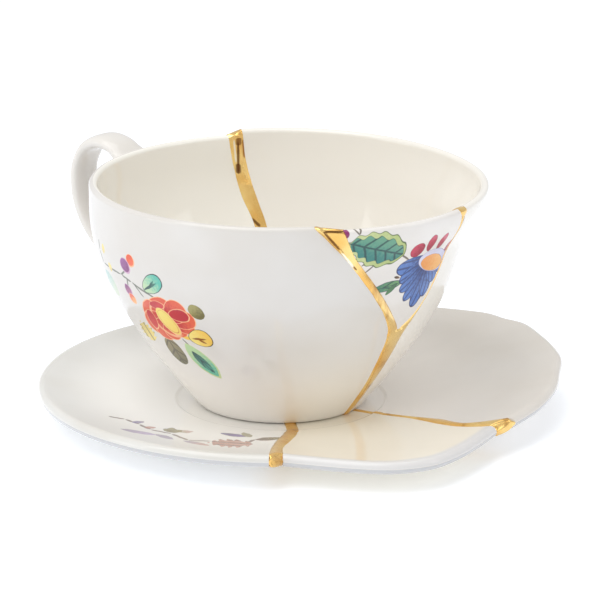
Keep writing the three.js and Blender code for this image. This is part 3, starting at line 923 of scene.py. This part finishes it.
def poured_gold(name):
    """Smooth, bright gold, a little redder and duller in patches, browner in streaks, with painted shade
    and highlights.
    """
    material = bpy.data.materials.new(name)
    material.use_nodes = True
    tree = material.node_tree
    shader = tree.nodes["Principled BSDF"]
    shader.inputs["Metallic"].default_value = 0.84
    place = node(tree, "TexCoord", {}, out="Object")
    cloud = node(tree, "TexNoise", {}, Vector=place, Scale=90.0, Detail=3.0)
    color = mixed(tree, cloud.between(0.35, 0.7), rgb(252, 220, 148), rgb(238, 188, 104))
    tall = node(tree, "Mapping", {}, place, None, None, (1, 1, 0.35))
    streak = node(tree, "TexNoise", {}, Vector=tall, Scale=190.0, Detail=2.0)
    color = mixed(tree, streak.between(0.56, 0.78) * 0.75, color, rgb(172, 112, 46))
    rough = cloud * 0.2 + 0.1
    wave = node(tree, "TexNoise", {}, Vector=place, Scale=330.0, Detail=1.0)
    bump = node(tree, "Bump", {}, Strength=0.35, Distance=0.0001, Height=wave)
    tree.links.new(rough.socket, shader.inputs["Roughness"])
    tree.links.new(bump.socket, shader.inputs["Normal"])
    gold = Painting(material, color, 0.2)
    for start, end, width, shade in painted_gold_lights:
        gold.stroke([start, end], width, shade)
    return gold


gold = poured_gold("poured_gold")
gold.coat(cup_gold)


# The saucer's left shard: nearly half of a round, off-white porcelain saucer with a rolled lip and a
# shallow well. Like the cup's shards, it is a section spun about the axis and pushed to its broken edges.
saucer_radius = 80
saucer_crest = 12.1
saucer_well_radius = 33.8
saucer_well = well_height
saucer_step = 0.4
saucer_step_width = 1.4
saucer_thickness = 3.2
saucer_bend = 1.15
saucer_lip = 4
saucer_under_well = 1.8
saucer_foot_inner = 36
saucer_foot_outer = 40
saucer_foot_slope = 1
saucer_pool = 5.6
saucer_turn = 300

# Outlines of the two odd shards as (azimuth, radius, height of the lip's crest).
front_rim = [
    (-95, 72, 10.6), (-89, 75, 10.6), (-82, 78.7, 10.6), (-75, 83.6, 10.6), (-70, 87.4, 10.6),
    (-66, 89.8, 10.6), (-61, 91.1, 10.6), (-57, 91, 10.6), (-49, 87.9, 10.6), (-42, 85.2, 10.7),
    (-35, 83.2, 10.8), (-26, 82.6, 11),
]
lobed_rim = [
    (-38, 83.5, 11), (-27, 86.2, 12.4), (-19, 88.8, 13.6), (-10, 91, 15.2), (-2, 91.8, 16.4),
    (5, 93.4, 17.2), (12, 93.7, 17.2), (20, 94.1, 17.2), (29, 95.3, 17.1), (34, 93.4, 16.9),
    (39, 93.3, 16.7), (45, 90.8, 16.3), (51, 88.6, 15.8), (62, 85.5, 15), (78, 83, 13.8),
    (90, 82.2, 13), (110, 81.6, 12.2),
]
left_rim = [(-400, saucer_radius, saucer_crest), (400, saucer_radius, saucer_crest)]

# A row of the saucer's section: its part and how far it lies along that part.
dish_rows = 46
saucer_rows = [("floor", k / 8) for k in range(9)]
saucer_rows += [("step", k / 5) for k in range(1, 6)]
saucer_rows += [("foot", k / 6) for k in range(7)]
saucer_rows += [("dish", k / dish_rows) for k in range(1, dish_rows + 1)]
saucer_rows += [("lip", k / 10) for k in range(1, 11)]


def saucer_section(row, start, radius, crest):
    """The underside's and the top's point of a row, for a lip of one radius and crest."""
    part, share = row
    edge = saucer_well_radius
    step = saucer_well + saucer_step
    half = saucer_lip / 2
    lip_r, lip_z = radius - half, crest - half

    def top(r):
        return step + (crest - step) * max(0, (r - edge) / (lip_r - edge)) ** saucer_bend

    if part == "floor":
        r = start + (edge - start) * share
        return (r, saucer_under_well), (r, saucer_well)
    if part == "step":
        under = edge + (saucer_foot_inner - saucer_foot_slope - edge) * share
        rise = saucer_well + (top(edge + saucer_step_width) - saucer_well) * smooth(share)
        return (under, saucer_under_well), (edge + saucer_step_width * share, rise)
    if part == "foot":
        inner, outer = saucer_foot_inner, saucer_foot_outer
        under = [
            (inner - saucer_foot_slope + 0.3, saucer_under_well - 0.1), (inner, 0.4), (inner + 0.5, 0),
            (outer - 1.5, 0), (outer - 0.4, 0), (outer, 0.4),
            (outer + 0.5, top(outer + 1) - saucer_thickness - 0.3),
        ][round(share * 6)]
        step_end = edge + saucer_step_width
        r = step_end + (outer + 0.6 - step_end) * (share * 0.94 + 0.06)
        return under, (r, top(r))
    if part == "dish":
        start_r = saucer_foot_outer + saucer_foot_slope
        r = start_r + (lip_r - start_r) * share
        return (r, top(r) - saucer_thickness), (r, top(r))
    turn = math.radians(90 - 89 * share)
    across, up = half * math.cos(turn), half * math.sin(turn)
    under_thick = saucer_thickness + (saucer_lip - saucer_thickness) * smooth(share, 0, 0.35) - half
    low = lip_z - max(up, 0) if share > 0.35 else lip_z - under_thick * math.sin(turn)
    return (lip_r + across, low), (lip_r + across, lip_z + up)


def round_section(row, start=saucer_pool):
    """The two points of a row on the round saucer."""
    return saucer_section(row, start, saucer_radius, saucer_crest)


def saucer_share(row):
    """How far a row lies from the well to the lip, on the round saucer."""
    radius = round_section(row)[0][0]
    share = (radius - saucer_well_radius) / (saucer_radius - saucer_well_radius)
    return min(1, max(0, share))


def saucer_point(rim, skin, row, azimuth, start=saucer_pool):
    """A point of a row under an outline, which gives the lip's radius and crest at each azimuth."""
    turned = azimuth - 360 if azimuth > 180 else azimuth
    radius, crest = along(rim, turned, 1), along(rim, turned, 2)
    r, z = saucer_section(row, start, radius, crest)[skin]
    return polar(r, azimuth, z)


# Broken edges as (share of the way from the well to the lip, azimuth).
left_front = [(0, -86.2), (0.33, -90.5), (0.63, -92), (1, -92.4)]
front_left = [(0, -80.5), (0.36, -86.1), (0.68, -89.2), (1, -89.3)]
front_right = [
    (0, -29.5), (0.125, -31.3), (0.33, -33), (0.55, -35.9), (0.7, -37), (0.83, -36.4), (1, -34.4),
]
lobed_front = [
    (0, -26.8), (0.12, -29.6), (0.3, -31.6), (0.54, -33), (0.72, -35), (0.8, -34.2), (0.9, -31.8), (1, -29),
]
lobed_back = [(0, 104), (1, 105)]
left_back = [(0, 109), (1, 108)]


def saucer_spans(rows, inner, start, end, turn=0):
    """The azimuths of two broken edges at each row, the edges given with their opposites."""
    spans = []
    for row in rows:
        radius = round_section(row, inner)[1][0]
        place = saucer_share(row), radius, saucer_well_radius
        spans.append((edge_at(*start, *place), edge_at(*end, *place) + turn))
    return spans


def saucer_shard(name, rim, start, end, turn, steps):
    """A shard of the saucer between two broken edges, given with their opposites."""
    piece = spun(name, [round_section(row) for row in saucer_rows], saucer_turn, steps)
    spans = saucer_spans(saucer_rows, saucer_pool, start, end, turn)

    def shape(skin, row, across):
        first, last = spans[row]
        azimuth = first + (last - first) * across
        return saucer_point(rim, skin, saucer_rows[row], azimuth), azimuth

    def painted(skin, row, azimuth):
        share = saucer_share(row)
        place = polar(round_section(row)[1][0], azimuth, 0)
        # The lip's lower roll is marked for its painted shade.
        beneath = 0.8 if row[0] == "lip" else 0
        return place.x, place.y, 1 + share if skin else beneath

    shaped(piece, saucer_rows, saucer_turn, shape, painted)
    finished(piece)
    return piece


def shade_beneath(painting, pale):
    """The lower half of the lip's roll is painted grey as shade, and the rest of the underside is pale."""
    painting.shade(painting.layer, 0.85, 1.0, rgb(198, 198, 199))
    painting.shade(painting.layer, 0.2, 0.6, pale)


left_edges = (left_back, lobed_back), (left_front, front_left)
saucer_left = saucer_shard("saucer_left", left_rim, *left_edges, 360, 180)
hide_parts("saucer_left_shard")

# Its painting, rubbed pale by use: a thin stem with mauve, rust and olive leaves and flowers.
# Painted light: the dish is painted lighter towards the well, against the cup's shade, and darker towards
# the lip, where the light falls strongest. The underside keeps the pale colour.
left_lit_well_and_underside = rgb(253, 251, 246)
sprig = glaze("saucer_left_glaze", rgb(220, 219, 215), 1.2)
sprig.shade(sprig.layer, 1.35, 1.95, left_lit_well_and_underside)
shade_beneath(sprig, left_lit_well_and_underside)
mauve, light_mauve = rgb(150, 134, 158), rgb(180, 160, 196)
violet, light_violet = rgb(128, 116, 158), rgb(140, 120, 176)
rust, light_rust = rgb(190, 134, 118), rgb(206, 156, 140)
olive, light_olive = rgb(152, 142, 100), rgb(176, 168, 128)
umber = rgb(116, 92, 82)
sprig.stroke([(-55.4, -33.9), (-49.8, -34.9), (-44.8, -39.8), (-41.3, -45.6), (-34.4, -48.8)], 1.6, umber)
sprig.stroke([(-34.4, -48.8), (-28.8, -57.5), (-21.5, -56.5), (-11, -58.4), (-8, -50.6)], 1.6, umber)
sprig.blade((-50.6, -49.4), (-38.8, -53.4), 4.2, mauve, light_mauve, umber, 1.3, strength=0.8)
sprig.blade((-39.2, -51.8), (-33.4, -57.9), 3.4, mauve, mauve, umber, 1.3, strength=0.75)
sprig.blade((-30.4, -58.4), (-22, -64.6), 3.6, mauve, rust, umber, 1.3, strength=0.7)
sprig.blade((-47.4, -38.6), (-43.6, -35), 2.8, violet, mauve, umber, 1.3, strength=0.85)
sprig.blade((-43, -43.6), (-39.6, -41.4), 3, rust, rust, umber, 1.3, strength=0.8)
for tip in ((-36.6, -41.8), (-34.6, -39.6), (-31.8, -41.8)):
    sprig.blade((-34.2, -47), tip, 3.4, olive, light_olive, umber, rim=0.15, strength=0.85)
sprig.blade((-33, -45), (-27.8, -42.8), 4, olive, rust, umber, 1.3, strength=0.7)
rust_flower = (-22.2, -59.2), (-8.6, -58.6)
sprig.blade(*rust_flower, 13, rust, light_rust, umber, 1.3, teeth=0.25, streaks=9, strength=0.85)
sprig.blade((-19, -42.2), (-10.6, -46.6), 4.2, violet, light_violet, umber, 1.3, rim=0.12, strength=0.9)
sprig.blade((-11.9, -39.6), (-9.5, -47), 3, olive, olive, umber, strength=0.85)
sprig.blade((-8, -51.6), (0.6, -46.9), 5, umber, olive, umber, 1.3, rim=0.12, strength=0.85)
sprig.coat(saucer_left)


# The saucer's front shard: the corner of a lobed saucer, in cream porcelain with a white lip. It is
# spun and pushed to its edges like the left shard, under the outline of its lobes.
front_edges = (front_left, left_front), (front_right, lobed_front)
saucer_front = saucer_shard("saucer_front", front_rim, *front_edges, 0, 90)
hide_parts("saucer_front_shard")
# Painted light: the dish is painted lighter towards the well, against the cup's shade, and shades into the
# cream towards the lip. The underside keeps the pale colour.
cream_lit_well_and_underside = rgb(254, 247, 230)
cream = glaze("cream_glaze", rgb(238, 230, 213))
cream.shade(cream.layer, 1.2, 1.9, cream_lit_well_and_underside)
cream.lay(cream.layer.between(1.9, 1.95), rgb(220, 218, 216))
shade_beneath(cream, cream_lit_well_and_underside)
cream.coat(saucer_front)


# The saucer's lobed shard: plain grey-white porcelain, from a saucer larger and higher than the others,
# with a wavy outline. It is spun and pushed to its edges like the left shard.
lobed_edges = (lobed_front, front_right), (lobed_back, left_back)
saucer_lobed = saucer_shard("saucer_lobed", lobed_rim, *lobed_edges, 0, 170)
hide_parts("saucer_lobed_shard")
# Painted light: the dish is painted lighter towards the well, against the cup's shade, and shades into the
# grey-white towards the lip. The underside keeps the pale colour.
grey_lit_well_and_underside = rgb(252, 247, 240)
grey = glaze("saucer_lobed_glaze", rgb(220, 215, 208))
grey.shade(grey.layer, 1.15, 1.8, grey_lit_well_and_underside)
shade_beneath(grey, grey_lit_well_and_underside)
grey.coat(saucer_lobed)


# The saucer's gold: lacquer dusted with gold, in three seams that meet in a pool under the cup. Like the
# cup's, each is a bar wrapped between two edges and over the lip, and all are fused together.
seam_rows = [("floor", k / 30) for k in range(31)]
seam_rows += [row for row in saucer_rows if row[0] in ("step", "foot")]
seam_rows += [("dish", k / 90) for k in range(1, 91)] + [("lip", k / 14) for k in range(1, 15)]
seam_start = saucer_pool * 0.75


def saucer_seam(start, end, rim_start, rim_end):
    """One seam of the saucer between two broken edges, under two outlines."""
    radii = [round_section(row, seam_start)[1][0] for row in seam_rows]
    spans = saucer_spans(seam_rows, seam_start, (start, end), (end, start))

    def shape(row, across, face):
        part_of, place = seam_rows[row]
        on_lip = part_of == "lip"
        narrow = 1 - 0.38 * math.sin(math.pi * place) ** 2 if on_lip else 1
        proud, part, azimuth = laid(spans[row], radii[row], row * 0.13, across, face, narrow)
        skin = 1 - face
        a = saucer_point(rim_start, skin, seam_rows[row], azimuth, seam_start)
        b = saucer_point(rim_end, skin, seam_rows[row], azimuth, seam_start)
        if on_lip:
            lift = math.radians(90 - 89 * place)
            push = polar(proud * math.cos(lift), azimuth, proud * math.sin(lift) * (1 if skin else -1))
        else:
            push = Vector((0, 0, proud if skin else -min(proud, 0)))
        return a.lerp(b, part) + push

    return gold_bar(len(seam_rows), shape)


seam_left = saucer_seam(left_front, front_left, left_rim, front_rim)
seam_right = saucer_seam(front_right, lobed_front, front_rim, lobed_rim)
seam_back = saucer_seam(lobed_back, left_back, lobed_rim, left_rim)
saucer_pool_bar = pool_bar(saucer_pool + 0.4, saucer_under_well + 0.4, saucer_well - 0.5)
saucer_gold = fused("saucer_gold", [seam_left, seam_right, seam_back, saucer_pool_bar])
finished(saucer_gold, 60)
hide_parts("saucer_gold_seam")
gold.coat(saucer_gold)
